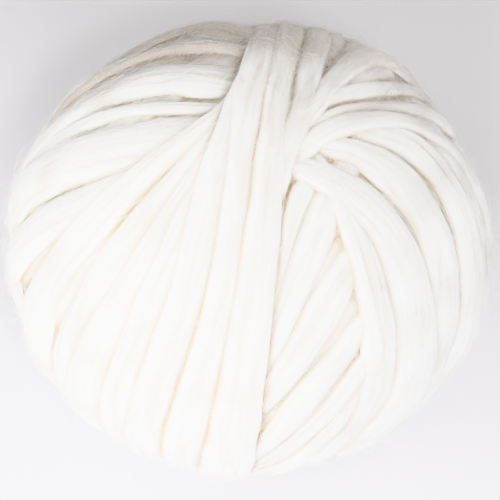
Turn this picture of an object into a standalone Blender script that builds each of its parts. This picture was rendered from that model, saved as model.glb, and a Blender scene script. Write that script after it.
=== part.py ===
"""A ball of thick wool roving, wound by hand, resting on the floor.

The ball is one closed solid in metres, +Z up, with its origin at the middle of the
small flat spot that it rests on and its front towards -Y.

The roving is wound on an ellipsoid.  Each strand is soft and flattened, follows a
smooth course over the ball and lies on the strands that were wound before it.  The
solid's surface is the height that the last strand reaches in each direction.
"""

import math
from collections import namedtuple

import bmesh
import bpy
import numpy as np

# Driving sizes, in metres
BALL_WIDTH = 0.250
BALL_DEPTH = 0.244
BALL_HEIGHT = 0.212

# The ball's own weight presses this much of its round underside flat
FLAT_SPOT_RISE = 0.009

# Winding
CORE_SHARE = 0.97          # the wound core's share of the ball's size
MEAN_RADIUS = 0.118        # turns distances over the ball into angles
STEP_ALONG = 0.004         # spacing of the points on a strand's course
COURSE_POINTS = 60         # on a wrap's hand-laid stretch, before they are evenly spaced
BEDDING_LENGTH = 0.022     # a strand evens out bumps shorter than this
ROUNDING_LENGTH = 0.024    # the ball stays round over lengths greater than this
ROUNDING_SAMPLES = 20      # every so many points are enough to find its roundness
DEEPEST_HOLLOW = 0.0045    # the wool swells into hollows until they are no deeper
STRAND_THICKNESS = 0.0022  # of a very narrow strand
THICKNESS_PER_WIDTH = 0.10  # what each metre of half width adds to that
SECTION_POWER = 2.6        # 2 is a round section, more is a flatter one
SECTION_EDGE = 0.9         # 0.5 is a section with upright edges, 1 one with sloping edges
END_TAPER = 0.045          # length over which a strand thins out at its ends
TINY = 1e-9                # keeps a stretch that covers nothing from dividing by zero

# A direction from the ball's middle: a bearing from the front, towards +X, and an angle
# above the horizon, in degrees
Direction = namedtuple("Direction", "bearing tilt")
FRONT = Direction(bearing=0, tilt=50)

# Surface grid: cells along each edge of the cube that is rounded into the ball, and
# the share of its faces that the finished solid keeps
GRID_CELLS = 96
FACES_KEPT = 0.09

WOOL_COLOUR = (0.86, 0.82, 0.74, 1.0)
WOOL_ROUGHNESS = 0.85

# Turns wound side by side round an axis, from one latitude to another.  The first lies
# where the start angle says, counted from the axis's right-hand side.
Turns = namedtuple("Turns", "axis first last count start half_width")
FILLING_TURNS = (
    Turns(Direction(340, 20), first=-78, last=78, count=12, start=0, half_width=0.016),
    Turns(Direction(220, 30), first=-78, last=78, count=10, start=0, half_width=0.016),
    Turns(Direction(183, -52), first=-6, last=14, count=2, start=270, half_width=0.0150),
)
BACK_TURNS = (
    Turns(Direction(183, -52), first=19, last=66, count=4, start=270, half_width=0.0150),
    Turns(Direction(160, -68), first=46, last=80, count=3, start=250, half_width=0.0145),
)

# A wrap on the front runs through four places, each given as millimetres across and up
# from the ball's middle as it is seen from the front.  It has a half width in
# millimetres at its start, middle and end, and runs on for some degrees round the ball
# before its first place and after its last.
Wrap = namedtuple("Wrap", "name start upper lower end widths before after")
WRAPS = (
    # lens-shaped strands at the lower right
    Wrap("right_lens_6", (66, -46), (54, -72), (44, -91), (28, -108), (6, 7, 8), 15, 40),
    Wrap("right_lens_5", (66, -46), (51, -66), (38, -84), (14, -106), (6, 7, 7), 20, 40),
    Wrap("right_lens_4", (64, -28), (46, -52), (30, -72), (8, -98), (8, 9, 8), 15, 30),
    Wrap("right_lens_3", (59, 5), (42, -21), (28, -45), (8, -72), (9, 11, 9), 15, 20),
    Wrap("right_lens_2", (46, 36), (34, 11), (24, -12), (11, -42), (9, 11, 9), 15, 20),
    Wrap("right_lens_1", (34, 44), (24, 25), (17, 8), (11, -15), (6, 7, 6), 10, 15),
    Wrap("right_side", (41, 30), (52, 8), (62, -24), (66, -67), (6, 9, 13), 20, 70),
    # broad fan that sweeps over the right side
    Wrap("right_flank", (44, 60), (88, 58), (113, 27), (121, -10), (5, 8, 13), 20, 60),
    Wrap("right_fan_outer", (46, 60), (84, 51), (107, 20), (114, -24), (7, 13, 17), 20, 60),
    Wrap("right_fan_middle", (32, 53), (66, 42), (91, 12), (98, -36), (7, 14, 18), 20, 60),
    Wrap("right_fan_inner", (20, 43), (48, 29), (72, 3), (84, -44), (7, 13, 16), 20, 60),
    # strands that spread from beside the sash over the top of the right side
    Wrap("right_crown_1", (30, 66), (37, 86), (41, 101), (45, 113), (5, 8, 9), 10, 50),
    Wrap("right_crown_2", (30, 66), (42, 83), (52, 96), (60, 107), (5, 8, 10), 10, 50),
    Wrap("right_crown_3", (30, 66), (46, 80), (60, 90), (74, 99), (5, 8, 10), 10, 50),
    Wrap("right_cap", (28, 64), (44, 86), (62, 97), (86, 93), (5, 8, 9), 10, 60),
    Wrap("right_ledge_high", (29, 66), (44, 75), (64, 82), (92, 79), (3, 5, 5), 10, 60),
    Wrap("right_ledge_low", (28, 60), (46, 68), (68, 73), (98, 68), (4, 4, 6), 10, 60),
    Wrap("right_rim", (15, 36), (39, 58), (84, 63), (118, 32), (6, 7, 9), 5, 60),
    # strands that sweep over the left side
    Wrap("left_crown_low", (8, 108), (-12, 112), (-34, 112), (-58, 104), (8, 9, 10), 15, 60),
    Wrap("left_crown", (8, 109), (-12, 114), (-34, 113), (-60, 103), (8, 9, 9), 15, 60),
    Wrap("left_back", (4, 102), (-19, 104), (-44, 101), (-72, 91), (6, 6, 8), 20, 60),
    Wrap("left_high", (2, 100), (-26, 103), (-57, 98), (-90, 80), (5, 5, 8), 10, 60),
    Wrap("left_groove", (5, 69), (-29, 71), (-67, 69), (-104, 54), (5, 5, 7), 10, 60),
    Wrap("left_bright", (-3, 84), (-31, 87), (-67, 82), (-101, 63), (13, 14, 11), 10, 60),
    Wrap("left_low", (-32, 50), (-58, 34), (-88, 21), (-117, 4), (9, 10, 14), 15, 60),
    Wrap("left_broad", (3, 63), (-31, 57), (-72, 49), (-112, 36), (10, 16, 17), 10, 60),
    # the sash: strands that crowd together at the top and fan out down the front
    Wrap("sash_left", (5, 97), (-14, 67), (-66, 24), (-102, -16), (5, 7, 14), 20, 60),
    Wrap("sash_left_2", (3, 88), (-14, 58), (-61, 2), (-88, -42), (5, 9, 12), 10, 60),
    Wrap("sash_left_3", (3, 84), (-12, 52), (-56, -16), (-82, -68), (5, 9, 14), 10, 60),
    Wrap("sash_middle", (4, 83), (-12, 46), (-48, -28), (-68, -88), (5, 9, 12), 10, 60),
    Wrap("sash_middle_2", (5, 96), (-11, 50), (-32, -25), (-55, -96), (6, 10, 11), 20, 60),
    Wrap("sash_edge", (33, 108), (25, 72), (8, 20), (-2, -70), (8, 8, 8), 70, 60),
    Wrap("sash_right_2", (10, 112), (1, 72), (-13, -22), (-34, -98), (8, 9, 11), 70, 60),
    Wrap("sash_right", (22, 113), (13, 72), (3, -12), (-11, -100), (8, 8, 13), 70, 60),
)

# Where the wound ball swells out of the ellipsoid or draws in: the place in millimetres
# across and up as seen from the front, how far it rises there and how far it reaches
Swell = namedtuple("Swell", "across up rise reach")
SWELLS = (
    Swell(across=52, up=108, rise=5, reach=26),
    Swell(across=-24, up=116, rise=2, reach=24),
    Swell(across=45, up=66, rise=2, reach=12),
    Swell(across=58, up=-98, rise=-5, reach=30),
)

MM = 0.001
SEMI_AXES = np.array([BALL_WIDTH, BALL_DEPTH, BALL_HEIGHT]) / 2


def clear_scene():
    for thing in list(bpy.data.objects):
        bpy.data.objects.remove(thing, do_unlink=True)


def unit(vectors):
    return vectors / np.linalg.norm(vectors, axis=-1, keepdims=True)


def seen_from(direction):
    """The right, up and near unit vectors of someone who looks at the ball from there."""
    bearing, tilt = math.radians(direction.bearing), math.radians(direction.tilt)
    right = np.array([math.cos(bearing), math.sin(bearing), 0])
    facing = np.array([math.sin(bearing), -math.cos(bearing), 0])
    upright = np.array([0, 0, 1])
    up = upright * math.cos(tilt) - facing * math.sin(tilt)
    near = upright * math.sin(tilt) + facing * math.cos(tilt)
    return right, up, near


def on_ball(across, up):
    """The direction of the place seen at (across, up) mm from the front, where the line
    of sight first meets the ellipsoid, in the space in which the ellipsoid is a unit
    sphere.  A place outside the outline moves in to it."""
    seen_right, seen_up, seen_near = seen_from(FRONT)
    flat = (seen_right * across + seen_up * up) * MM / SEMI_AXES
    sight = seen_near / SEMI_AXES
    a = sight @ sight
    b = flat @ sight
    room = b * b - a * (flat @ flat - 1)
    reach = (-b + math.sqrt(max(room, 0))) / a
    return unit(flat + reach * sight)


def smooth_curve(places, count):
    """A Catmull-Rom curve through the places, which passes straight over its ends."""
    first = 2 * places[0] - places[1]
    last = 2 * places[-1] - places[-2]
    knots = np.vstack([first, places, last])
    t = np.linspace(0, len(places) - 1, count)
    leg = np.minimum(t.astype(int), len(places) - 2)
    t = (t - leg)[:, None]
    a, b, c, d = (knots[leg + i] for i in range(4))
    return 0.5 * (2 * b + (c - a) * t + (2 * a - 5 * b + 4 * c - d) * t ** 2
                  + (3 * b - a - 3 * c + d) * t ** 3)


def run_on(place, heading, degrees):
    """Points on the great circle that leaves a place on a heading."""
    heading = unit(heading - (heading @ place) * place)
    count = max(int(math.radians(degrees) * MEAN_RADIUS / STEP_ALONG), 1)
    turn = np.linspace(0, math.radians(degrees), count + 1)[1:, None]
    return place * np.cos(turn) + heading * np.sin(turn)


def course_of(wrap):
    """A wrap's course as evenly spaced directions, and the distance along it at which
    each of its three half widths holds."""
    spots = (wrap.start, wrap.upper, wrap.lower, wrap.end)
    places = np.array([on_ball(*spot) for spot in spots])
    laid = unit(smooth_curve(places, COURSE_POINTS))
    before = run_on(laid[0], laid[0] - laid[1], wrap.before)[::-1]
    after = run_on(laid[-1], laid[-1] - laid[-2], wrap.after)
    course = np.vstack([before, laid, after])
    return course, (len(before), len(before) + len(laid) // 2, len(before) + len(laid) - 1)


def evenly(course, marks):
    """Spaces a course evenly, and turns the marks on it into distances."""
    leg = np.linalg.norm(np.diff(course, axis=0), axis=1) * MEAN_RADIUS
    along = np.concatenate([[0], np.cumsum(leg)])
    count = int(along[-1] / STEP_ALONG) + 1
    new_along = np.linspace(0, along[-1], count)
    new_course = np.stack([np.interp(new_along, along, course[:, i]) for i in range(3)], 1)
    return unit(new_course), new_along, along[list(marks)]


def smoothed(values, length):
    """Averages values along a course over a bell-shaped window of a given length."""
    reach = int(3 * length / STEP_ALONG)
    window = np.exp(-0.5 * (np.arange(-reach, reach + 1) * STEP_ALONG / length) ** 2)
    padded = np.pad(values, reach, mode="constant")
    return np.convolve(padded, window, mode="valid")


def lay(directions, height, course, along, half_widths):
    """Lays a strand on the ball.  Under each point of its course the heights that it
    covers are evened out into a bed, level along the course and tilted across it.
    The strand adds a rounded section to the bed, and the higher surface stays."""
    tangent = unit(np.gradient(course, axis=0))
    side = np.cross(course, tangent)
    nearest = np.argmax(directions @ course.T, axis=1)
    offset = np.sum(directions * side[nearest], axis=1) * MEAN_RADIUS
    step = np.sum(directions * tangent[nearest], axis=1) * MEAN_RADIUS
    half = half_widths[nearest]
    this_side = np.sum(directions * course[nearest], axis=1) > 0
    under = this_side & (np.abs(offset) < half) & (np.abs(step) < STEP_ALONG)

    spots = nearest[under]
    count = len(course)
    across = offset[under]
    weight = smoothed(np.bincount(spots, minlength=count), BEDDING_LENGTH) + TINY
    bed = smoothed(np.bincount(spots, height[under], count), BEDDING_LENGTH) / weight
    leaning = (height[under] - bed[spots]) * across
    lean = smoothed(np.bincount(spots, leaning, count), BEDDING_LENGTH)
    spread = smoothed(np.bincount(spots, across ** 2, count), BEDDING_LENGTH) + TINY
    to_end = np.minimum(along, along[-1] - along)
    thickness = STRAND_THICKNESS + THICKNESS_PER_WIDTH * half_widths
    thickness = thickness * np.sqrt(np.clip(to_end / END_TAPER, 0, 1))
    section = (1 - np.abs(across / half[under]) ** SECTION_POWER) ** SECTION_EDGE
    top = bed[spots] + (lean / spread)[spots] * across + thickness[spots] * section
    height[under] = np.maximum(height[under], top)


def lay_turns(directions, height, turns):
    """Lays one strand that winds round an axis in a spiral from latitude to latitude."""
    right, up, near = seen_from(turns.axis)
    share = np.linspace(0, 1, COURSE_POINTS * turns.count)[:, None]
    turn = math.radians(turns.start) + share * turns.count * 2 * math.pi
    latitude = np.radians(turns.first + share * (turns.last - turns.first))
    ring = right * np.cos(turn) + up * np.sin(turn)
    spiral = near * np.sin(latitude) + ring * np.cos(latitude)
    course, along, _ = evenly(spiral, [0])
    lay(directions, height, course, along, np.full(len(along), turns.half_width))


def lay_wrap(directions, height, wrap):
    course, marks = course_of(wrap)
    course, along, stations = evenly(course, marks)
    half_widths = np.interp(along, stations, np.array(wrap.widths) * MM)
    lay(directions, height, course, along, half_widths)


def swell(directions):
    """How far the ball swells out in each direction: a bell shape round each place."""
    rise = np.zeros(len(directions))
    for spot in SWELLS:
        nearness = directions @ on_ball(spot.across, spot.up) - 1
        rise += spot.rise * MM * np.exp(nearness * (MEAN_RADIUS / (spot.reach * MM)) ** 2)
    return rise


def points_of(mesh):
    flat = np.empty(len(mesh.vertices) * 3, dtype=np.float32)
    mesh.vertices.foreach_get("co", flat)
    return flat.reshape(-1, 3).astype(float)


def put_points(mesh, points):
    mesh.vertices.foreach_set("co", points.astype(np.float32).ravel())
    mesh.update()


def round_grid():
    """A cube of square cells, blown up into a unit sphere of nearly even cells."""
    grid = bmesh.new()
    bmesh.ops.create_cube(grid, size=2)
    bmesh.ops.subdivide_edges(grid, edges=grid.edges[:], cuts=GRID_CELLS - 1, use_grid_fill=True)
    mesh = bpy.data.meshes.new("grid")
    grid.to_mesh(mesh)
    grid.free()
    cube = np.tan(points_of(mesh) * math.pi / 4)
    return mesh, unit(cube)


def settled(directions, height):
    """Takes the broad swells out of the heights, and fills what is left of deep hollows:
    whoever winds a ball does so as they go.  The broad part is a bell-shaped average
    round each direction."""
    spots = directions[::ROUNDING_SAMPLES]
    weight = np.exp((directions @ spots.T - 1) * (MEAN_RADIUS / ROUNDING_LENGTH) ** 2)
    broad = weight @ height[::ROUNDING_SAMPLES] / weight.sum(1)
    height = height - broad
    hollow = DEEPEST_HOLLOW * np.tanh(height / DEEPEST_HOLLOW)
    return np.where(height < 0, hollow, height)


def thinned_out(ball):
    """The ball's mesh with only as many faces as its creases need."""
    thinning = ball.modifiers.new("thinning", "DECIMATE")
    thinning.ratio = FACES_KEPT
    depsgraph = bpy.context.evaluated_depsgraph_get()
    return bpy.data.meshes.new_from_object(ball.evaluated_get(depsgraph))


def sized_and_pressed(points):
    """Brings the ball to its size and presses its underside flat at z = 0."""
    low, high = points.min(0), points.max(0)
    size = np.array([BALL_WIDTH, BALL_DEPTH, BALL_HEIGHT + FLAT_SPOT_RISE])
    points = (points - (low + high) / 2) * size / (high - low)
    points[:, 2] += size[2] / 2 - FLAT_SPOT_RISE
    points[:, 2] = np.maximum(points[:, 2], 0)
    return points


def wool_material():
    material = bpy.data.materials.new("wool")
    material.use_nodes = True
    shader = material.node_tree.nodes["Principled BSDF"]
    shader.inputs["Base Color"].default_value = WOOL_COLOUR
    shader.inputs["Roughness"].default_value = WOOL_ROUGHNESS
    shader.inputs["Metallic"].default_value = 0.0
    return material


def make_ball():
    grid, directions = round_grid()
    height = np.zeros(len(directions))
    for turns in FILLING_TURNS:
        lay_turns(directions, height, turns)
    for wrap in WRAPS:
        lay_wrap(directions, height, wrap)
    for turns in BACK_TURNS:
        lay_turns(directions, height, turns)
    height = settled(directions, height) + swell(directions)
    put_points(grid, directions * (SEMI_AXES * CORE_SHARE + height[:, None]))
    ball = bpy.data.objects.new("roving_ball", grid)
    bpy.context.scene.collection.objects.link(ball)
    mesh = thinned_out(ball)
    mesh.name = "roving_ball"
    put_points(mesh, sized_and_pressed(points_of(mesh)))
    mesh.materials.append(wool_material())
    mesh.shade_smooth()
    ball.modifiers.clear()
    ball.data = mesh


clear_scene()
make_ball()
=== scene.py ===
"""The looks of a ball of thick wool roving, wound by hand, resting on the floor.

The roving is laid strand by strand, just as the solid's source lays it, and each strand
is then a piece of its own: a flattened lens that follows its course, combed into fine
grooves and covered with loose fibres.

Directions are unit vectors in the space in which the wound ellipsoid is a unit sphere.
A height is what stands on the wound core in a direction.  Lengths are in metres.
"""

import math
from collections import namedtuple

import bpy
import numpy as np
from mathutils import Matrix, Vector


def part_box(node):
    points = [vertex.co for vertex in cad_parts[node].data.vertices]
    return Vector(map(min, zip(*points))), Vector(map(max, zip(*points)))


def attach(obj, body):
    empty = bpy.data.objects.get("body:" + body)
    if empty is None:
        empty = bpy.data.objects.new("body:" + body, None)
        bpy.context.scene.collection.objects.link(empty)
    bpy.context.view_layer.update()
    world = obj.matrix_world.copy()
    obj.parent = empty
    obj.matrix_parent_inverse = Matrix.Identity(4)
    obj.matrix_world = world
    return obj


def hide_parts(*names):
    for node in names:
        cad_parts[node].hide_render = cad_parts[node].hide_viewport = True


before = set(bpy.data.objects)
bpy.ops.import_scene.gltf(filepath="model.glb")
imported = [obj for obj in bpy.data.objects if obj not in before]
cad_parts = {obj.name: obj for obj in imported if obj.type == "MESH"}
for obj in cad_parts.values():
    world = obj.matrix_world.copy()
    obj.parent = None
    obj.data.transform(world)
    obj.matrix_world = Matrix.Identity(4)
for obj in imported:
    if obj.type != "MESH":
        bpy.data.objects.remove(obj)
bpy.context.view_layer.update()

# The ball's size, from the solid
BALL = "roving_ball"
BALL_LOW, BALL_HIGH = (np.array(corner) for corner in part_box(BALL))
BALL_SIZE = BALL_HIGH - BALL_LOW
SEMI_AXES = BALL_SIZE / 2
FLAT_SPOT_RISE = 0.009     # the ball's weight presses this much of its underside flat

# Winding, as in the solid's source
CORE_SHARE = 0.97          # the wound core's share of the ball's size
MEAN_RADIUS = 0.118        # turns distances over the ball into angles
STEP_ALONG = 0.004         # spacing of the points on a strand's course
COURSE_POINTS = 60         # on a wrap's given stretch, before they are evenly spaced
BEDDING_LENGTH = 0.022     # a strand evens out bumps shorter than this
ROUNDING_LENGTH = 0.024    # the ball stays round over lengths greater than this
ROUNDING_SAMPLES = 20      # every so many points are enough to find its roundness
DEEPEST_HOLLOW = 0.0045    # the wool swells into hollows until they are no deeper
STRAND_THICKNESS = 0.0022  # of a very narrow strand
THICKNESS_PER_WIDTH = 0.1  # what each metre of half width adds to that
SECTION_POWER = 2.6        # 2 is a round section, more is a flatter one
SECTION_EDGE = 0.9         # 0.5 is a section with upright edges, 1 one with sloping edges
END_TAPER = 0.045          # length over which a strand thins out at its ends
TINY = 1e-9                # keeps a stretch that covers nothing from dividing by zero
GRID_CELLS = 96            # along each edge of the cube that is rounded into the ball
MM = 0.001

# A direction from the ball's middle: a bearing from the front, towards +X, and an angle
# above the horizon, in degrees
Direction = namedtuple("Direction", "bearing tilt")
FRONT = Direction(bearing=0, tilt=50)

# Turns wound side by side round an axis, from one latitude to another.  The first lies
# where the start angle says, counted from the axis's right-hand side.
Turns = namedtuple("Turns", "name axis first last count start half_width")
FILLING_TURNS = (
    Turns("filling_1", Direction(340, 20), -78, 78, 12, 0, 0.016),
    Turns("filling_2", Direction(220, 30), -78, 78, 10, 0, 0.016),
    Turns("filling_3", Direction(183, -52), -6, 14, 2, 270, 0.0150),
)
BACK_TURNS = (
    Turns("back_turns", Direction(183, -52), 19, 66, 4, 270, 0.0150),
    Turns("under_turns", Direction(160, -68), 46, 80, 3, 250, 0.0145),
)

# A wrap on the front runs through four places, each given as millimetres across and up
# from the ball's middle as it is seen from the front.  It has a half width in
# millimetres at its start, middle and end, and runs on for some degrees round the ball
# before its first place and after its last.
Wrap = namedtuple("Wrap", "name start upper lower end widths before after")
WRAPS = (
    # lens-shaped strands at the lower right
    Wrap("right_lens_6", (66, -46), (54, -72), (44, -91), (28, -108), (6, 7, 8), 15, 40),
    Wrap("right_lens_5", (66, -46), (51, -66), (38, -84), (14, -106), (6, 7, 7), 20, 40),
    Wrap("right_lens_4", (64, -28), (46, -52), (30, -72), (8, -98), (8, 9, 8), 15, 30),
    Wrap("right_lens_3", (59, 5), (42, -21), (28, -45), (8, -72), (9, 11, 9), 15, 20),
    Wrap("right_lens_2", (46, 36), (34, 11), (24, -12), (11, -42), (9, 11, 9), 15, 20),
    Wrap("right_lens_1", (34, 44), (24, 25), (17, 8), (11, -15), (6, 7, 6), 10, 15),
    Wrap("right_side", (41, 30), (52, 8), (62, -24), (66, -67), (6, 9, 13), 20, 70),
    # broad fan that sweeps over the right side
    Wrap("right_flank", (44, 60), (88, 58), (113, 27), (121, -10), (5, 8, 13), 20, 60),
    Wrap("right_fan_outer", (46, 60), (84, 51), (107, 20), (114, -24), (7, 13, 17), 20, 60),
    Wrap("right_fan_middle", (32, 53), (66, 42), (91, 12), (98, -36), (7, 14, 18), 20, 60),
    Wrap("right_fan_inner", (20, 43), (48, 29), (72, 3), (84, -44), (7, 13, 16), 20, 60),
    # strands that spread from beside the sash over the top of the right side
    Wrap("right_crown_1", (30, 66), (37, 86), (41, 101), (45, 113), (5, 8, 9), 10, 50),
    Wrap("right_crown_2", (30, 66), (42, 83), (52, 96), (60, 107), (5, 8, 10), 10, 50),
    Wrap("right_crown_3", (30, 66), (46, 80), (60, 90), (74, 99), (5, 8, 10), 10, 50),
    Wrap("right_cap", (28, 64), (44, 86), (62, 97), (86, 93), (5, 8, 9), 10, 60),
    Wrap("right_ledge_high", (29, 66), (44, 75), (64, 82), (92, 79), (3, 5, 5), 10, 60),
    Wrap("right_ledge_low", (28, 60), (46, 68), (68, 73), (98, 68), (4, 4, 6), 10, 60),
    Wrap("right_rim", (15, 36), (39, 58), (84, 63), (118, 32), (6, 7, 9), 5, 60),
    # strands that sweep over the left side
    Wrap("left_crown_low", (8, 108), (-12, 112), (-34, 112), (-58, 104), (8, 9, 10), 15, 60),
    Wrap("left_crown", (8, 109), (-12, 114), (-34, 113), (-60, 103), (8, 9, 9), 15, 60),
    Wrap("left_back", (4, 102), (-19, 104), (-44, 101), (-72, 91), (6, 6, 8), 20, 60),
    Wrap("left_high", (2, 100), (-26, 103), (-57, 98), (-90, 80), (5, 5, 8), 10, 60),
    Wrap("left_groove", (5, 69), (-29, 71), (-67, 69), (-104, 54), (5, 5, 7), 10, 60),
    Wrap("left_bright", (-3, 84), (-31, 87), (-67, 82), (-101, 63), (13, 14, 11), 10, 60),
    Wrap("left_low", (-32, 50), (-58, 34), (-88, 21), (-117, 4), (9, 10, 14), 15, 60),
    Wrap("left_broad", (3, 63), (-31, 57), (-72, 49), (-112, 36), (10, 16, 17), 10, 60),
    # the sash: strands that crowd together at the top and fan out down the front
    Wrap("sash_left", (5, 97), (-14, 67), (-66, 24), (-102, -16), (5, 7, 14), 20, 60),
    Wrap("sash_left_2", (3, 88), (-14, 58), (-61, 2), (-88, -42), (5, 9, 12), 10, 60),
    Wrap("sash_left_3", (3, 84), (-12, 52), (-56, -16), (-82, -68), (5, 9, 14), 10, 60),
    Wrap("sash_middle", (4, 83), (-12, 46), (-48, -28), (-68, -88), (5, 9, 12), 10, 60),
    Wrap("sash_middle_2", (5, 96), (-11, 50), (-32, -25), (-55, -96), (6, 10, 11), 20, 60),
    Wrap("sash_edge", (33, 108), (25, 72), (8, 20), (-2, -70), (8, 8, 8), 70, 60),
    Wrap("sash_right_2", (10, 112), (1, 72), (-13, -22), (-34, -98), (8, 9, 11), 70, 60),
    Wrap("sash_right", (22, 113), (13, 72), (3, -12), (-11, -100), (8, 8, 13), 70, 60),
)

# Where the wound ball swells out of the ellipsoid or draws in: the place in millimetres
# across and up as seen from the front, how far it rises there and how far it reaches
Swell = namedtuple("Swell", "across up rise reach")
SWELLS = (
    Swell(across=52, up=108, rise=5, reach=26),
    Swell(across=-24, up=116, rise=2, reach=24),
    Swell(across=45, up=66, rise=2, reach=12),
    Swell(across=58, up=-98, rise=-5, reach=30),
)

# Fineness of a strand's mesh: spacing along and across its top, and the points that
# close it underneath
Fineness = namedtuple("Fineness", "along across under")
WRAP_FINENESS = Fineness(along=0.003, across=0.00045, under=7)
BACK_FINENESS = Fineness(along=0.004, across=0.0007, under=7)
FILLING_FINENESS = Fineness(along=0.008, across=0.0024, under=3)
UNDER_DEPTH = 0.0020       # how far a strand's underside sinks into its bed
EDGE_DROP = 0.0008         # how far its edges tuck in
EDGE_POWER = 6             # the higher, the nearer to its edges that starts
TIP_LENGTH = 0.018         # over which its width closes at its ends
WIDTH_WAVER = 0.05         # share by which its width comes and goes
THICKNESS_WAVER = 0.10     # and its thickness
WAVER_LENGTH = 0.055       # over which they do

# What the comb leaves along a strand: grooves for each centimetre of its width, their
# depth and half breadth, and how far they drift sideways as a share of its half width
Combing = namedtuple("Combing", "per_cm depth breadth drift")
COMBINGS = (
    Combing(per_cm=0.8, depth=0.0004, breadth=0.0012, drift=0.20),
    Combing(per_cm=3.0, depth=0.0003, breadth=0.0007, drift=0.12),
    Combing(per_cm=7.0, depth=0.00016, breadth=0.0004, drift=0.08),
)
SHALLOWEST_GROOVE = 0.4    # the least share of its depth that a groove has
# painted shade: a groove is darkened in colour by its depth, as a crease is
GROOVE_DEPTH = 0.0015      # a groove this deep is as dark as a crease
DRIFT_LENGTH = 0.110       # over which grooves drift sideways
FADE_LENGTH = 0.070        # over which they fade in and out
WAVE_LENGTHS = (0.6, 1.8)  # a slow wave's sines are between these shares of its length

# How deep a place lies in a crease, which sets the painted shade there, is judged from
# spots in a ring round it
CREASE_SPOTS = 6
CREASE_REACH = 0.003       # the ring's radius
CREASE_DEPTH = 0.0018      # a crease this deep is as dark as it gets

# The skin of the wound core, which closes the creases between the strands and is painted
# with their dark shade
CORE_SINK = 0.0018         # how far it lies under the strands' tops
CORE_STEP = 2              # it takes every second line of the grid
CORE_PAINTED_SHADE = 0.75          # and is this dark even where it lies open

# The wool is painted with shade round the back and most on the left: where that starts and
# where it is whole, in metres from the ball's middle, and its share on the right
PAINTED_SHADE_BACK = (0.030, 0.060)
PAINTED_SHADE_SIDE = (0.080, -0.010)
PAINTED_SHADE_LEAST = 0.35

# Loose fibres: how many, their length, how high they stand off, how far they turn away
# from the strand in radians, and their radius at the root
Fibres = namedtuple("Fibres", "name count shortest longest lift stray radius points")
FIBRES = (
    Fibres("surface_fibres", 7500, 0.020, 0.060, 0.0006, 0.08, 0.00006, 6),
    Fibres("lifted_fibres", 7500, 0.010, 0.030, 0.0016, 0.35, 0.00006, 6),
    Fibres("stray_fibres", 6000, 0.004, 0.014, 0.0030, 0.90, 0.00005, 5),
)
SHARE_THAT_FALLS = 0.6     # of the fibres that lift off, these come down again
FIBRE_SIDES = 3

SEED = 7


def unit(vectors):
    return vectors / np.linalg.norm(vectors, axis=-1, keepdims=True)


# ---- winding the ball, as the solid's source does ----

def seen_from(direction):
    """The right, up and near unit vectors of someone who looks at the ball from there."""
    bearing, tilt = math.radians(direction.bearing), math.radians(direction.tilt)
    right = np.array([math.cos(bearing), math.sin(bearing), 0])
    facing = np.array([math.sin(bearing), -math.cos(bearing), 0])
    upright = np.array([0, 0, 1])
    up = upright * math.cos(tilt) - facing * math.sin(tilt)
    near = upright * math.sin(tilt) + facing * math.cos(tilt)
    return right, up, near


def on_ball(across, up):
    """The direction of the place seen at (across, up) mm from the front, where the line
    of sight first meets the ellipsoid.  A place outside the outline moves in to it."""
    seen_right, seen_up, seen_near = seen_from(FRONT)
    flat = (seen_right * across + seen_up * up) * MM / SEMI_AXES
    sight = seen_near / SEMI_AXES
    a = sight @ sight
    b = flat @ sight
    room = b * b - a * (flat @ flat - 1)
    reach = (-b + math.sqrt(max(room, 0))) / a
    return unit(flat + reach * sight)


def smooth_curve(places, count):
    """A Catmull-Rom curve through the places, which passes straight over its ends."""
    first = 2 * places[0] - places[1]
    last = 2 * places[-1] - places[-2]
    knots = np.vstack([first, places, last])
    t = np.linspace(0, len(places) - 1, count)
    leg = np.minimum(t.astype(int), len(places) - 2)
    t = (t - leg)[:, None]
    a, b, c, d = (knots[leg + i] for i in range(4))
    return 0.5 * (2 * b + (c - a) * t + (2 * a - 5 * b + 4 * c - d) * t ** 2
                  + (3 * b - a - 3 * c + d) * t ** 3)


def run_on(place, heading, degrees):
    """Points on the great circle that leaves a place on a heading."""
    heading = unit(heading - (heading @ place) * place)
    count = max(int(math.radians(degrees) * MEAN_RADIUS / STEP_ALONG), 1)
    turn = np.linspace(0, math.radians(degrees), count + 1)[1:, None]
    return place * np.cos(turn) + heading * np.sin(turn)


def course_of(wrap):
    """A wrap's course as directions, and the points at which its half widths hold."""
    spots = (wrap.start, wrap.upper, wrap.lower, wrap.end)
    places = np.array([on_ball(*spot) for spot in spots])
    laid = unit(smooth_curve(places, COURSE_POINTS))
    before = run_on(laid[0], laid[0] - laid[1], wrap.before)[::-1]
    after = run_on(laid[-1], laid[-1] - laid[-2], wrap.after)
    course = np.vstack([before, laid, after])
    return course, (len(before), len(before) + len(laid) // 2, len(before) + len(laid) - 1)


def evenly(course, marks):
    """Spaces a course evenly, and turns the marks on it into distances."""
    leg = np.linalg.norm(np.diff(course, axis=0), axis=1) * MEAN_RADIUS
    along = np.concatenate([[0], np.cumsum(leg)])
    count = int(along[-1] / STEP_ALONG) + 1
    new_along = np.linspace(0, along[-1], count)
    new_course = np.stack([np.interp(new_along, along, course[:, i]) for i in range(3)], 1)
    return unit(new_course), new_along, along[list(marks)]


def smoothed(values, length):
    """Averages values along a course over a bell-shaped window of a given length."""
    reach = int(3 * length / STEP_ALONG)
    window = np.exp(-0.5 * (np.arange(-reach, reach + 1) * STEP_ALONG / length) ** 2)
    padded = np.pad(values, reach, mode="constant")
    return np.convolve(padded, window, mode="valid")


# A strand as it lies: at each point of its course the direction, the distance along it,
# its right-hand side, its half width, the height and the slope of its bed, and its
# thickness
Strand = namedtuple("Strand", "name course along side half_width bed slope thickness")


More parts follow.
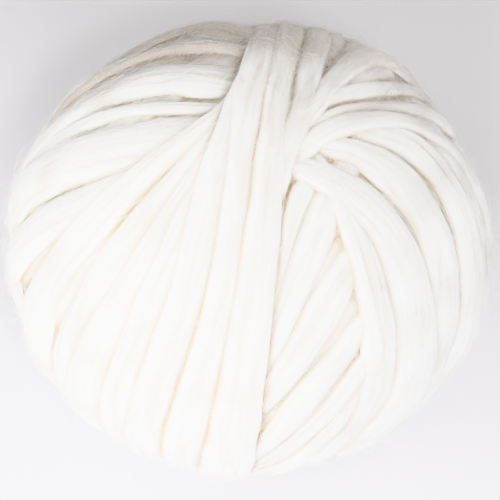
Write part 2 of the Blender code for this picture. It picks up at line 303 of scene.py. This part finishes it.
class Ball:
    """The wool on a grid of directions, while the strands are laid: its height, its grain,
    which is the heading of the strand on top, and its lie on that strand: how far across
    and along it is, and the strand's number."""

    def __init__(self):
        self.directions = cube_sphere().reshape(-1, 3)
        self.height = np.zeros(len(self.directions))
        self.grain = np.zeros_like(self.directions)
        self.lie = np.zeros_like(self.directions)
        self.strands = []

    def lay(self, name, course, along, half_width):
        """Lays a strand.  Under each point of its course the heights that it covers are
        evened out into a bed, level along the course and tilted across it.  The strand
        adds a rounded section to the bed, and the higher surface stays."""
        directions, height = self.directions, self.height
        heading = unit(np.gradient(course, axis=0))
        side = np.cross(course, heading)
        nearest = np.argmax(directions @ course.T, axis=1)
        offset = np.sum(directions * side[nearest], axis=1) * MEAN_RADIUS
        step = np.sum(directions * heading[nearest], axis=1) * MEAN_RADIUS
        this_side = np.sum(directions * course[nearest], axis=1) > 0
        beneath = (np.abs(offset) < half_width[nearest]) & (np.abs(step) < STEP_ALONG)
        under = np.flatnonzero(this_side & beneath)

        spots = nearest[under]
        count = len(course)
        across = offset[under]
        weight = smoothed(np.bincount(spots, minlength=count), BEDDING_LENGTH) + TINY
        bed = smoothed(np.bincount(spots, height[under], count), BEDDING_LENGTH) / weight
        leaning = (height[under] - bed[spots]) * across
        lean = smoothed(np.bincount(spots, leaning, count), BEDDING_LENGTH)
        spread = smoothed(np.bincount(spots, across ** 2, count), BEDDING_LENGTH) + TINY
        slope = lean / spread
        to_end = np.minimum(along, along[-1] - along)
        thickness = STRAND_THICKNESS + THICKNESS_PER_WIDTH * half_width
        thickness = thickness * np.sqrt(np.clip(to_end / END_TAPER, 0, 1))
        top = bed[spots] + slope[spots] * across
        top = top + thickness[spots] * section(across / half_width[spots])
        raised = top > height[under]
        height[under[raised]] = top[raised]
        self.grain[under[raised]] = heading[spots[raised]]
        number = np.full(raised.sum(), len(self.strands))
        lie = np.stack([across[raised], along[spots[raised]], number], 1)
        self.lie[under[raised]] = lie
        strand = Strand(name, course, along, side, half_width, bed, slope, thickness)
        self.strands.append(strand)

    def lay_wrap(self, wrap):
        course, marks = course_of(wrap)
        course, along, stations = evenly(course, marks)
        half_width = np.interp(along, stations, np.array(wrap.widths) * MM)
        self.lay(wrap.name, course, along, half_width)

    def lay_turns(self, turns):
        """Lays one strand that winds round an axis, in a spiral from latitude to
        latitude."""
        right, up, near = seen_from(turns.axis)
        share = np.linspace(0, 1, COURSE_POINTS * turns.count)[:, None]
        turn = math.radians(turns.start) + share * turns.count * 2 * math.pi
        latitude = np.radians(turns.first + share * (turns.last - turns.first))
        ring = right * np.cos(turn) + up * np.sin(turn)
        spiral = near * np.sin(latitude) + ring * np.cos(latitude)
        course, along, _ = evenly(spiral, [0])
        self.lay(turns.name, course, along, np.full(len(along), turns.half_width))

    def finish(self):
        """Finds the broad form, a bell-shaped average of the heights round each
        direction, and the linear map that brings the ball to its size."""
        spots = self.directions[::ROUNDING_SAMPLES]
        nearness = (self.directions @ spots.T - 1) * (MEAN_RADIUS / ROUNDING_LENGTH) ** 2
        weight = np.exp(nearness)
        self.broad = weight @ self.height[::ROUNDING_SAMPLES] / weight.sum(1)
        points = self.unsized(self.directions, self.height)
        low, high = points.min(0), points.max(0)
        size = BALL_SIZE + np.array([0, 0, FLAT_SPOT_RISE])
        self.scale = size / (high - low)
        self.shift = (BALL_LOW + BALL_HIGH - np.array([0, 0, FLAT_SPOT_RISE])) / 2
        self.shift = self.shift - (low + high) / 2 * self.scale

    def unsized(self, directions, height):
        """Points at a height in each direction, with the broad form taken out, deep
        hollows filled and the swells put in."""
        height = height - on_grid(self.broad, directions)
        hollow = DEEPEST_HOLLOW * np.tanh(height / DEEPEST_HOLLOW)
        height = np.where(height < 0, hollow, height) + swell(directions)
        return directions * (SEMI_AXES * CORE_SHARE + height[..., None])

    def crease(self, directions, height, first, second):
        """How deep a place lies in a crease, from 0 to 1: how far the wool in a ring
        round it, in the plane of two directions at right angles, stands over it.  It sets
        the painted shade in creases."""
        around = np.zeros(directions.shape[:-1])
        for turn in np.arange(CREASE_SPOTS) * 2 * math.pi / CREASE_SPOTS:
            step = first * math.cos(turn) + second * math.sin(turn)
            spots = unit(directions + step * CREASE_REACH / MEAN_RADIUS)
            around += on_grid(self.height, spots)
        return np.clip((around / CREASE_SPOTS - height) / CREASE_DEPTH, 0, 1)

    def points(self, directions, height):
        """Finished points on the ball, pressed flat where they meet the floor."""
        points = self.unsized(directions, height) * self.scale + self.shift
        points[..., 2] = np.maximum(points[..., 2], BALL_LOW[2])
        return points


def cube_sphere():
    """Unit directions through a square grid on each of a cube's six sides, blown up into
    a sphere: the grid's lines are evenly spaced in angle."""
    line = np.tan(np.linspace(-1, 1, GRID_CELLS + 1) * math.pi / 4)
    rows, columns = np.meshgrid(line, line, indexing="ij")
    sides = []
    for axis in range(3):
        for sign in (-1, 1):
            side = [None, None, None]
            side[axis] = np.full_like(rows, sign)
            side[(axis + 1) % 3] = rows
            side[(axis + 2) % 3] = columns
            sides.append(np.stack(side, -1))
    return unit(np.array(sides))


def on_grid(values, directions):
    """Reads values on the cube sphere in any direction: it falls on the side of its
    longest component, and the four grid points round it are mixed by nearness."""
    axis = np.argmax(np.abs(directions), axis=-1)[..., None]
    longest = np.take_along_axis(directions, axis, -1)
    places = []
    for turn in (1, 2):
        other = np.take_along_axis(directions, (axis + turn) % 3, -1) / np.abs(longest)
        places.append((np.arctan(other)[..., 0] * 4 / math.pi + 1) * GRID_CELLS / 2)
    side = (2 * axis + (longest > 0))[..., 0]
    row, column = (np.clip(place.astype(int), 0, GRID_CELLS - 1) for place in places)
    down, over = places[0] - row, places[1] - column
    table = values.reshape(6, GRID_CELLS + 1, GRID_CELLS + 1)
    near, far = (table[side, row + i, column] * (1 - over)
                 + table[side, row + i, column + 1] * over for i in (0, 1))
    return near * (1 - down) + far * down


def swell(directions):
    """How far the ball swells out in each direction: a bell shape round each place."""
    rise = np.zeros(directions.shape[:-1])
    for spot in SWELLS:
        nearness = directions @ on_ball(spot.across, spot.up) - 1
        rise += spot.rise * MM * np.exp(nearness * (MEAN_RADIUS / (spot.reach * MM)) ** 2)
    return rise


def section(share):
    """A strand's rounded section: its height at a share of its half width."""
    return np.clip(1 - np.abs(share) ** SECTION_POWER, 0, 1) ** SECTION_EDGE


# ---- the strands' surfaces ----

def slow_wave(rng, along, length):
    """A slow, irregular wave between about -1 and 1: the sum of three sines whose lengths
    and phases are random."""
    wave = np.zeros_like(along)
    for _ in range(3):
        phase = rng.uniform(0, 2 * math.pi)
        wave += np.sin(along * 2 * math.pi / (length * rng.uniform(*WAVE_LENGTHS)) + phase)
    return wave / 2


def combed(rng, across, along, half_width):
    """Grooves left by the comb.  Each is a line that drifts sideways along the strand and
    fades in and out, and the wool falls off towards it as an exponential of the
    distance, so that the bundles between grooves are rounded."""
    relief = np.zeros_like(across)
    for combing in COMBINGS:
        for _ in range(int(combing.per_cm * half_width.max() * 2 / 0.01) + 1):
            middle = rng.uniform(-1, 1)
            middle = middle + combing.drift * slow_wave(rng, along, DRIFT_LENGTH)
            depth = combing.depth * rng.uniform(SHALLOWEST_GROOVE, 1)
            depth = depth * np.clip(0.5 + slow_wave(rng, along, FADE_LENGTH), 0, 1)
            distance = np.abs(across - (middle * half_width)[:, None])
            relief -= depth[:, None] * np.exp(-distance / combing.breadth)
    return relief


def strand_surface(ball, strand, fineness, rng):
    """A strand as a closed grid.  Its first parameter runs along the course.  Its second
    runs across the top, where the height is the bed plus the rounded section plus the
    combed relief, and back along the underside, a shallow half ellipse in the bed."""
    count = int(strand.along[-1] / fineness.along) + 1
    along = np.linspace(0, strand.along[-1], count)

    def at(values):
        if values.ndim == 1:
            return np.interp(along, strand.along, values)
        return unit(np.stack([np.interp(along, strand.along, v) for v in values.T], 1))

    course, side = at(strand.course), at(strand.side)
    side = unit(side - np.sum(side * course, axis=1, keepdims=True) * course)
    half_width = at(strand.half_width)
    half_width = half_width * (1 + WIDTH_WAVER * slow_wave(rng, along, WAVER_LENGTH))
    to_end = np.minimum(along, along[-1] - along)
    half_width = half_width * np.clip(to_end / TIP_LENGTH, 0, 1) ** 0.5
    thickness = at(strand.thickness)
    thickness = thickness * (1 + THICKNESS_WAVER * slow_wave(rng, along, WAVER_LENGTH))

    top_count = int(2 * strand.half_width.max() / fineness.across)
    top = np.sin(np.linspace(-1, 1, top_count) * math.pi / 2)
    under = np.sin(np.linspace(1, -1, fineness.under + 2)[1:-1] * math.pi / 2)
    share = np.concatenate([top, under])
    on_top = np.arange(len(share)) < top_count

    across = half_width[:, None] * share
    relief = combed(rng, across, along, half_width) * section(share)
    height = at(strand.bed)[:, None] + at(strand.slope)[:, None] * across
    height = height - EDGE_DROP * share ** EDGE_POWER
    raised = thickness[:, None] * section(share) + relief
    sunk = -UNDER_DEPTH * np.sqrt(1 - share ** 2)
    height = height + np.where(on_top, raised, sunk)
    angle = np.arcsin(across / MEAN_RADIUS)[..., None]
    directions = course[:, None] * np.cos(angle) + side[:, None] * np.sin(angle)
    points = ball.points(directions, height)
    lie = np.stack([across, np.broadcast_to(along[:, None], across.shape)], -1)
    # painted shade: grooves and creases are darkened in colour by how deep they lie
    groove = np.clip(-relief / GROOVE_DEPTH, 0, 1)
    heading = np.cross(side, course)
    crease = ball.crease(directions, height, side[:, None], heading[:, None])
    return points, lie, np.maximum(groove, crease)


def smooth_step(values, reach):
    """0 before the first value of the reach, 1 after the second, and smooth between."""
    step = np.clip((values - reach[0]) / (reach[1] - reach[0]), 0, 1)
    return step ** 2 * (3 - 2 * step)


def painted_shade_at(points):
    """How much painted shade the wool takes: a smooth step from front to back times
    one from right to left."""
    left = PAINTED_SHADE_LEAST + (1 - PAINTED_SHADE_LEAST) * smooth_step(points[:, 0], PAINTED_SHADE_SIDE)
    return smooth_step(points[:, 1], PAINTED_SHADE_BACK) * left


def closed_tube(points):
    """Corners and faces of a closed tube from a grid of rings: each ring is joined to the
    next, and the first and last rings shrink to one corner each."""
    rings, around = points.shape[:2]
    inner = points[1:-1].reshape(-1, 3)
    tips = points[[0, -1]].mean(axis=1)
    corners = np.vstack([inner, tips])
    ring = np.arange(rings - 2)[:, None] * around
    here, after = np.arange(around), (np.arange(around) + 1) % around
    a, b = ring[:-1] + here, ring[:-1] + after
    quads = np.stack([a, b, b + around, a + around], -1).reshape(-1, 4)
    first, last = len(inner), len(inner) + 1
    start = np.stack([after, here, np.full(around, first)], -1)
    end_ring = ring[-1]
    end = np.stack([end_ring + here, end_ring + after, np.full(around, last)], -1)
    return corners, quads, np.vstack([start, end])


def mesh_of(name, corners, quads, triangles):
    """A mesh from whole arrays of corners, four-sided faces and three-sided faces."""
    mesh = bpy.data.meshes.new(name)
    mesh.vertices.add(len(corners))
    mesh.vertices.foreach_set("co", corners.astype(np.float32).ravel())
    mesh.loops.add(quads.size + triangles.size)
    loops = np.concatenate([quads.ravel(), triangles.ravel()]).astype(np.int32)
    mesh.loops.foreach_set("vertex_index", loops)
    sizes = np.concatenate([np.full(len(quads), 4), np.full(len(triangles), 3)])
    mesh.polygons.add(len(sizes))
    starts = np.concatenate([[0], np.cumsum(sizes)[:-1]]).astype(np.int32)
    mesh.polygons.foreach_set("loop_start", starts)
    mesh.update(calc_edges=True)
    mesh.validate()
    mesh.shade_smooth()
    return mesh


def points_of(mesh):
    flat = np.empty(len(mesh.vertices) * 3, dtype=np.float32)
    mesh.vertices.foreach_get("co", flat)
    return flat.reshape(-1, 3)


def put_attribute(mesh, name, kind, field, values):
    attribute = mesh.attributes.new(name, kind, "POINT")
    attribute.data.foreach_set(field, values.astype(np.float32).ravel())


def add_piece(name, mesh, material):
    """Adds a piece of the ball: it rides on the ball's body and stands for its solid."""
    mesh.materials.append(material)
    piece = bpy.data.objects.new(name, mesh)
    bpy.context.scene.collection.objects.link(piece)
    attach(piece, "root")
    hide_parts(BALL)
    return piece


def add_strand(ball, strand, fineness, material, number):
    rng = np.random.default_rng([SEED, number])
    points, lie, depth = strand_surface(ball, strand, fineness, rng)
    mesh = mesh_of(strand.name, *closed_tube(points))
    lie = np.vstack([lie[1:-1].reshape(-1, 2), lie[[0, -1]].mean(axis=1)])
    depth = np.concatenate([depth[1:-1].ravel(), depth[[0, -1]].mean(axis=1)])
    lie = np.column_stack([lie, np.full(len(lie), number)])
    put_attribute(mesh, "lie", "FLOAT_VECTOR", "vector", lie)
    # painted shade: the depth attribute darkens creases and grooves towards tan
    put_attribute(mesh, "depth", "FLOAT", "value", depth)
    # painted shade: the shade attribute darkens the wool round the back and on the left
    put_attribute(mesh, "shade", "FLOAT", "value", painted_shade_at(points_of(mesh)))
    add_piece(strand.name, mesh, material)


def add_core(ball, material):
    """The skin of the wound core, which closes the creases between the strands: a point
    for each direction of a coarser grid, at the height of the wool less a little.  Points
    that two sides of the cube share are one."""
    lines = GRID_CELLS + 1
    number = np.arange(6 * lines * lines).reshape(6, lines, lines)
    number = number[:, ::CORE_STEP, ::CORE_STEP]
    _, first, place = np.unique(ball.directions[number].reshape(-1, 3).round(6), axis=0,
                                return_index=True, return_inverse=True)
    place = place.reshape(number.shape)
    quads = np.stack([place[:, :-1, :-1], place[:, 1:, :-1], place[:, 1:, 1:],
                      place[:, :-1, 1:]], -1)
    quads[::2] = quads[::2, ..., ::-1].copy()
    chosen = number.ravel()[first]
    directions, height = ball.directions[chosen], ball.height[chosen]
    points = ball.points(directions, height - CORE_SINK)
    mesh = mesh_of("wound_core", points, quads.reshape(-1, 4), np.empty((0, 3), int))
    put_attribute(mesh, "lie", "FLOAT_VECTOR", "vector", ball.lie[chosen])
    grain = ball.grain[chosen]
    crease = ball.crease(directions, height, np.cross(directions, grain), grain)
    # painted shade: the core's skin is dark throughout, and darkest in creases
    depth = CORE_PAINTED_SHADE + (1 - CORE_PAINTED_SHADE) * crease
    put_attribute(mesh, "depth", "FLOAT", "value", depth)
    # painted shade round the back and on the left, as on the strands
    put_attribute(mesh, "shade", "FLOAT", "value", painted_shade_at(points_of(mesh)))
    add_piece("wound_core", mesh, material)


# ---- loose fibres ----

def fibre_paths(ball, fibres, rng):
    """Each fibre leaves a random place on the ball, along the strand there but for a
    random turn, bends evenly to one side, and lifts off as the square of its length
    or comes down again as a sine."""
    chosen = rng.integers(0, len(ball.directions), fibres.count)
    place, grain = ball.directions[chosen], ball.grain[chosen]
    side = np.cross(place, grain)
    length = rng.uniform(fibres.shortest, fibres.longest, fibres.count)[:, None]
    share = np.linspace(0, 1, fibres.points)
    way = rng.choice([-1, 1], fibres.count)[:, None]
    turned = rng.normal(0, fibres.stray, (fibres.count, 1))
    bend = rng.normal(0, 2 * fibres.stray, (fibres.count, 1))
    heading = turned + bend * share
    forward = np.cumsum(np.cos(heading), axis=1) - np.cos(heading[:, :1])
    sideways = np.cumsum(np.sin(heading), axis=1) - np.sin(heading[:, :1])
    scale = length / (fibres.points - 1) / MEAN_RADIUS
    path = place[:, None] + (way * forward * scale)[..., None] * grain[:, None]
    path = unit(path + (sideways * scale)[..., None] * side[:, None])
    falls = rng.random((fibres.count, 1)) < SHARE_THAT_FALLS
    rise = np.where(falls, np.sin(share * math.pi), share ** 2)
    lift = rng.gamma(2, fibres.lift / 2, (fibres.count, 1)) * rise
    return ball.points(path, on_grid(ball.height, path) + lift)


def add_fibres(ball, fibres, material):
    """Thin three-sided tubes round the fibres' paths, tapered to a point at both ends."""
    rng = np.random.default_rng([SEED, fibres.count])
    paths = fibre_paths(ball, fibres, rng)
    ahead = unit(np.gradient(paths, axis=1))
    outward = unit(paths - (BALL_LOW + BALL_HIGH) / 2)
    across = unit(np.cross(ahead, outward))
    outward = np.cross(across, ahead)
    turn = (np.arange(FIBRE_SIDES) * 2 * math.pi / FIBRE_SIDES)[:, None]
    taper = np.sqrt(np.sin(np.linspace(0, math.pi, fibres.points)))
    ring = across[:, :, None] * np.cos(turn) + outward[:, :, None] * np.sin(turn)
    points = paths[:, :, None] + ring * (fibres.radius * taper)[:, None, None]
    corners, quads, triangles = closed_tube(points[0])
    every = np.arange(fibres.count)[:, None, None] * len(corners)
    tips = points[:, [0, -1]].mean(axis=2)
    inner = points[:, 1:-1].reshape(fibres.count, -1, 3)
    corners = np.concatenate([inner, tips], axis=1).reshape(-1, 3)
    quads = (quads + every).reshape(-1, 4)
    triangles = (triangles + every).reshape(-1, 3)
    add_piece(fibres.name, mesh_of(fibres.name, corners, quads, triangles), material)


# ---- materials ----

# The wool where it lies open and in its warmer streaks, and the painted shade of its
# creases and of the back
WOOL_LIGHT = (0.915, 0.913, 0.908, 1)
WOOL_WARM = (0.905, 0.896, 0.880, 1)
WOOL_PAINTED_CREASE_SHADE = (0.50, 0.41, 0.29, 1)
WOOL_PAINTED_BACK_SHADE = (0.58, 0.49, 0.41, 1)
PAINTED_SHADE_MOST = 0.75          # the shaded colour's share where it is whole
WOOL_ROUGHNESS = 0.8
WOOL_SPECULAR = 0.25
WOOL_SHEEN = 0.25
WOOL_SHEEN_ROUGHNESS = 0.5
STREAKS = (900, 14, 3.7)   # repeats in a metre across, in a metre along, between strands
STREAK_DETAIL = 3
STREAK_RANGE = (0.40, 0.80)  # the noise's values between which a streak gathers colour
FINE_FIBRES = (2600, 45, 5.3)
FINE_FIBRE_DETAIL = 4
FINE_FIBRE_DEPTH = 0.0004
FINE_FIBRE_STRENGTH = 0.5
FIBRE_ROUGHNESS = 0.6
FIBRE_SHEEN = 0.3
FLOOR_COLOUR = (0.87, 0.864, 0.884, 1)
FLOOR_ROUGHNESS = 0.9
FLOOR_SPECULAR = 0.1
FLOOR_REACH = 6.0


def new_material(name):
    material = bpy.data.materials.new(name)
    material.use_nodes = True
    nodes, links = material.node_tree.nodes, material.node_tree.links
    return material, nodes, links, nodes["Principled BSDF"]


def read_attribute(nodes, name):
    attribute = nodes.new("ShaderNodeAttribute")
    attribute.attribute_name = name
    return attribute


def stretched_noise(nodes, links, source, scale, detail):
    """Noise that is stretched along the strand: scale gives its repeats for each metre
    across, along, and from strand to strand."""
    mapping = nodes.new("ShaderNodeMapping")
    mapping.inputs["Scale"].default_value = scale
    noise = nodes.new("ShaderNodeTexNoise")
    noise.inputs["Scale"].default_value = 1
    noise.inputs["Detail"].default_value = detail
    links.new(source, mapping.inputs["Vector"])
    links.new(mapping.outputs["Vector"], noise.inputs["Vector"])
    return noise.outputs["Fac"]


def mixed(nodes, links, factor, low, high):
    """Mixes two colours, each a constant or another node's output."""
    mix = nodes.new("ShaderNodeMix")
    mix.data_type = "RGBA"
    links.new(factor, mix.inputs["Factor"])
    for socket, colour in ((mix.inputs[6], low), (mix.inputs[7], high)):
        if isinstance(colour, tuple):
            socket.default_value = colour
        else:
            links.new(colour, socket)
    return mix.outputs[2]


def wool_material():
    """Combed wool: nearly white with warmer streaks, with painted beige shade round the
    back and painted tan shade in its creases, fine fibres as bump along the strand, and the
    soft sheen of a fuzzy surface."""
    material, nodes, links, shader = new_material("combed_wool")
    lie = read_attribute(nodes, "lie").outputs["Vector"]
    depth = read_attribute(nodes, "depth").outputs["Fac"]
    shade = read_attribute(nodes, "shade").outputs["Fac"]
    streaks = stretched_noise(nodes, links, lie, STREAKS, STREAK_DETAIL)
    contrast = nodes.new("ShaderNodeMapRange")
    for name, value in zip(("From Min", "From Max"), STREAK_RANGE):
        contrast.inputs[name].default_value = value
    links.new(streaks, contrast.inputs["Value"])
    colour = mixed(nodes, links, contrast.outputs["Result"], WOOL_LIGHT, WOOL_WARM)
    # painted shade: the wool turns beige round the back and most on the left
    most = nodes.new("ShaderNodeMath")
    most.operation = "MULTIPLY"
    most.inputs[1].default_value = PAINTED_SHADE_MOST
    links.new(shade, most.inputs[0])
    colour = mixed(nodes, links, most.outputs[0], colour, WOOL_PAINTED_BACK_SHADE)
    # painted shade in creases and grooves
    colour = mixed(nodes, links, depth, colour, WOOL_PAINTED_CREASE_SHADE)
    links.new(colour, shader.inputs["Base Color"])
    fine = stretched_noise(nodes, links, lie, FINE_FIBRES, FINE_FIBRE_DETAIL)
    bump = nodes.new("ShaderNodeBump")
    bump.inputs["Strength"].default_value = FINE_FIBRE_STRENGTH
    bump.inputs["Distance"].default_value = FINE_FIBRE_DEPTH
    links.new(fine, bump.inputs["Height"])
    links.new(bump.outputs["Normal"], shader.inputs["Normal"])
    shader.inputs["Roughness"].default_value = WOOL_ROUGHNESS
    shader.inputs["Specular IOR Level"].default_value = WOOL_SPECULAR
    shader.inputs["Sheen Weight"].default_value = WOOL_SHEEN
    shader.inputs["Sheen Roughness"].default_value = WOOL_SHEEN_ROUGHNESS
    return material


def fibre_material():
    material, _, _, shader = new_material("loose_fibre")
    shader.inputs["Base Color"].default_value = WOOL_LIGHT
    shader.inputs["Roughness"].default_value = FIBRE_ROUGHNESS
    shader.inputs["Sheen Weight"].default_value = FIBRE_SHEEN
    return material


# ---- stage, light and camera ----

CAMERA_DISTANCE = 1.5
SENSOR = 0.036             # the width of the camera's sensor
PIXEL = 0.000514           # what one of the photo's pixels spans at the ball
PHOTO_SIZE = 500
BALL_PIXEL = (251, 250)    # where the ball's middle is in the photo


def add_floor():
    material, _, _, shader = new_material("pale_floor")
    shader.inputs["Base Color"].default_value = FLOOR_COLOUR
    shader.inputs["Roughness"].default_value = FLOOR_ROUGHNESS
    shader.inputs["Specular IOR Level"].default_value = FLOOR_SPECULAR
    corners = np.array([(-1, -1, 0), (1, -1, 0), (1, 1, 0), (-1, 1, 0)]) * FLOOR_REACH
    mesh = mesh_of("floor", corners, np.array([[0, 1, 2, 3]]), np.empty((0, 3), int))
    mesh.materials.append(material)
    floor = bpy.data.objects.new("floor", mesh)
    bpy.context.scene.collection.objects.link(floor)


def ball_middle():
    return np.array([0, 0, (BALL_SIZE[2] - FLAT_SPOT_RISE) / 2])


def placed(thing, direction, distance):
    """Puts a camera or light at a distance from the ball's middle, looking at it."""
    right, up, near = seen_from(direction)
    place = ball_middle() + near * distance
    turned = np.eye(4)
    turned[:3, 0], turned[:3, 1], turned[:3, 2], turned[:3, 3] = right, up, near, place
    thing.matrix_world = Matrix(turned.tolist())


# Studio lamps that look at the ball's middle: where they stand, how far, how wide, their
# power in watts and their colour
Lamp = namedtuple("Lamp", "name direction distance size power colour")
LAMPS = (
    Lamp("sun", Direction(8, 47), 1.6, 0.14, 4.8, (1.0, 1.0, 1.0)),
    Lamp("front_low", Direction(-4, 22), 1.6, 0.4, 6.6, (0.98, 0.99, 1.0)),
    Lamp("front_left", Direction(-24, 28), 1.6, 0.4, 1.8, (1.0, 1.0, 1.0)),
    Lamp("front_right", Direction(20, 28), 1.6, 0.4, 3.6, (0.97, 0.98, 1.0)),
    Lamp("right_card", Direction(48, 48), 0.55, 0.3, 0.65, (1.0, 0.98, 0.97)),
    Lamp("back_right", Direction(120, 28), 1.2, 0.8, 2.4, (1.0, 0.94, 0.92)),
    Lamp("warm_back", Direction(170, 30), 1.2, 1.0, 1.4, (1.0, 0.84, 0.70)),
    Lamp("right_window", Direction(105, 18), 1.4, 0.6, 2.4, (0.90, 0.95, 1.0)),
    Lamp("table_glow", Direction(-10, 7), 1.2, 0.4, 3.2, (0.96, 0.98, 1.0)),
    Lamp("near_card", Direction(-45, 12), 0.5, 0.3, 1.8, (1.0, 1.0, 1.0)),
    Lamp("left_card", Direction(-75, 52), 0.5, 0.3, 0.85, (1.0, 1.0, 1.0)),
)
SKY_COLOUR = (0.97, 0.98, 1.0, 1)
SKY_STRENGTH = 0.26


def add_lamp(lamp):
    data = bpy.data.lights.new(lamp.name, "AREA")
    data.shape = "DISK"
    data.size = lamp.size
    data.energy = lamp.power
    data.color = lamp.colour
    light = bpy.data.objects.new(lamp.name, data)
    bpy.context.scene.collection.objects.link(light)
    placed(light, lamp.direction, lamp.distance)


def add_light():
    world = bpy.data.worlds.new("studio")
    world.use_nodes = True
    background = world.node_tree.nodes["Background"]
    background.inputs["Color"].default_value = SKY_COLOUR
    background.inputs["Strength"].default_value = SKY_STRENGTH
    bpy.context.scene.world = world
    for lamp in LAMPS:
        add_lamp(lamp)


def add_camera():
    data = bpy.data.cameras.new("camera")
    data.sensor_width = SENSOR / MM
    data.lens = data.sensor_width * CAMERA_DISTANCE / (PIXEL * PHOTO_SIZE)
    middle = PHOTO_SIZE / 2
    data.shift_x = (middle - BALL_PIXEL[0]) / PHOTO_SIZE
    data.shift_y = (BALL_PIXEL[1] - middle) / PHOTO_SIZE
    camera = bpy.data.objects.new("camera", data)
    bpy.context.scene.collection.objects.link(camera)
    placed(camera, FRONT, CAMERA_DISTANCE)
    bpy.context.scene.camera = camera


def make_ball():
    ball = Ball()
    for turns in FILLING_TURNS:
        ball.lay_turns(turns)
    for wrap in WRAPS:
        ball.lay_wrap(wrap)
    for turns in BACK_TURNS:
        ball.lay_turns(turns)
    ball.finish()
    wool = wool_material()
    add_core(ball, wool)
    fineness = [FILLING_FINENESS] * len(FILLING_TURNS) + [WRAP_FINENESS] * len(WRAPS)
    fineness += [BACK_FINENESS] * len(BACK_TURNS)
    for number, strand in enumerate(ball.strands):
        add_strand(ball, strand, fineness[number], wool, number)
    loose = fibre_material()
    for fibres in FIBRES:
        add_fibres(ball, fibres, loose)


add_camera()
add_light()
add_floor()
make_ball()
bpy.context.scene.view_settings.view_transform = "Khronos PBR Neutral"
